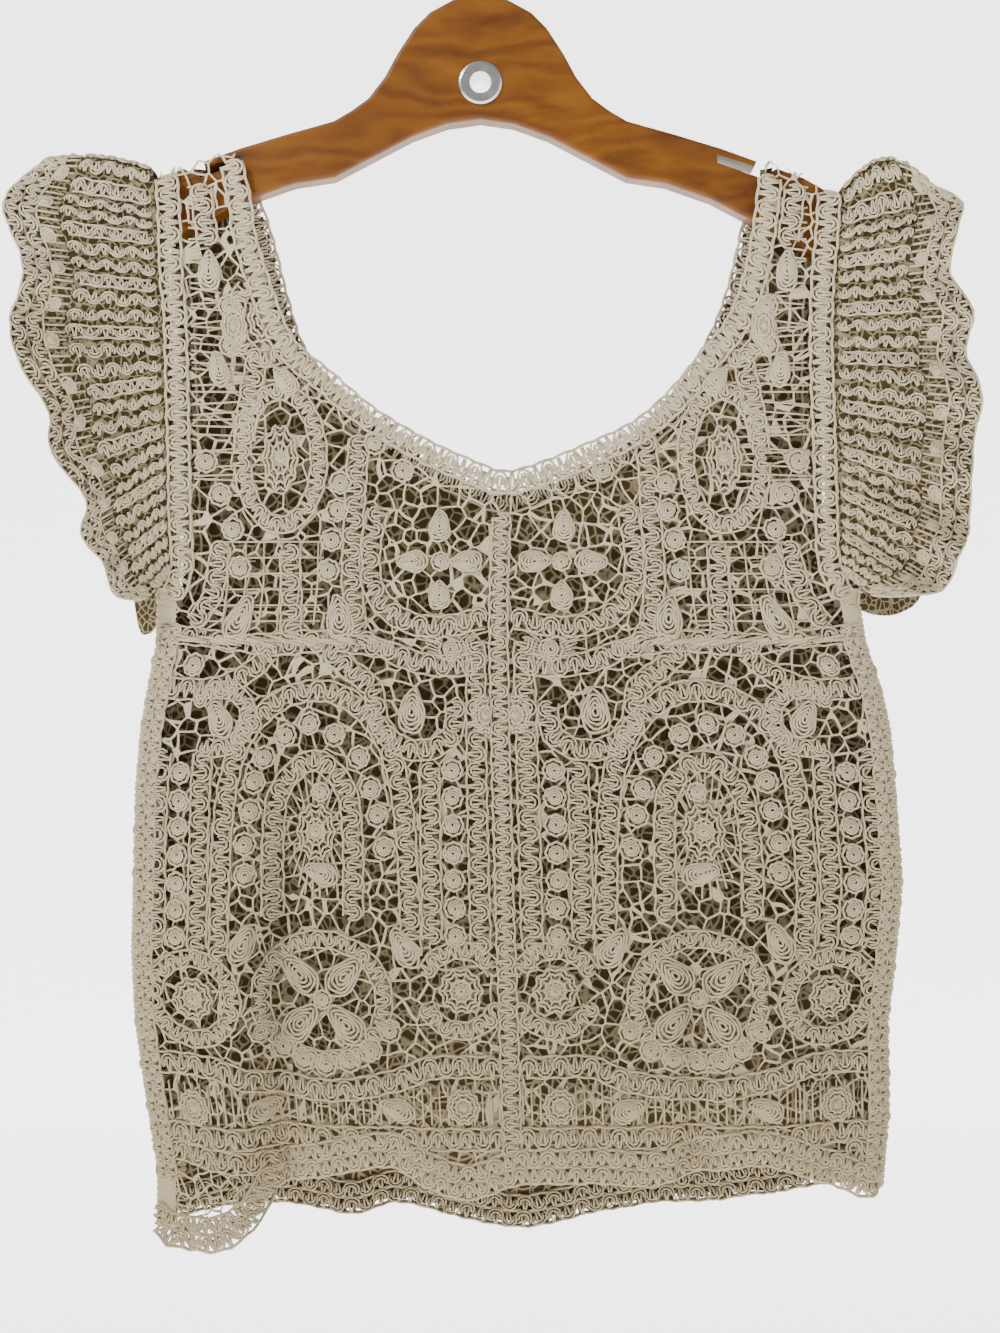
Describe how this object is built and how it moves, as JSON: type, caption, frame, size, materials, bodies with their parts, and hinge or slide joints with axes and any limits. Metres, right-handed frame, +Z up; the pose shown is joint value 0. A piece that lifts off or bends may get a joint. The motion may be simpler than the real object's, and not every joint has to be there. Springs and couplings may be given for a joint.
{
  "type": "crochet lace top on a wooden hanger",
  "caption": "Crocheted lace top with a V neck and flutter sleeves, hung on a flat wooden hanger with a wire hook.",
  "frame": {"origin": "where the inside of the hook's bend rests on its rail", "axes": "+Z up, front faces -Y, +X to the right as seen from the front"},
  "size_m": [0.488, 0.0778, 0.7123],
  "materials": {
    "lace": "matt cotton yarn",
    "wood": "satin varnish",
    "steel": "polished wire"
  },
  "bodies": {
    "root": {"hanger_wood": "wood", "eyelet": "steel", "hook": "steel", "front_left": "lace", "front_right": "lace", "front_centre_band": "lace", "front_neck_band": "lace", "front_hem_band": "lace", "front_armhole_left": "lace", "front_armhole_right": "lace", "back_left": "lace", "back_right": "lace", "back_centre_band": "lace", "back_neck_band": "lace", "back_hem_band": "lace", "back_armhole_left": "lace", "back_armhole_right": "lace", "side_seam_left": "lace", "side_seam_right": "lace", "ruffle_left": "lace", "ruffle_right": "lace"}
  },
  "joints": []
}
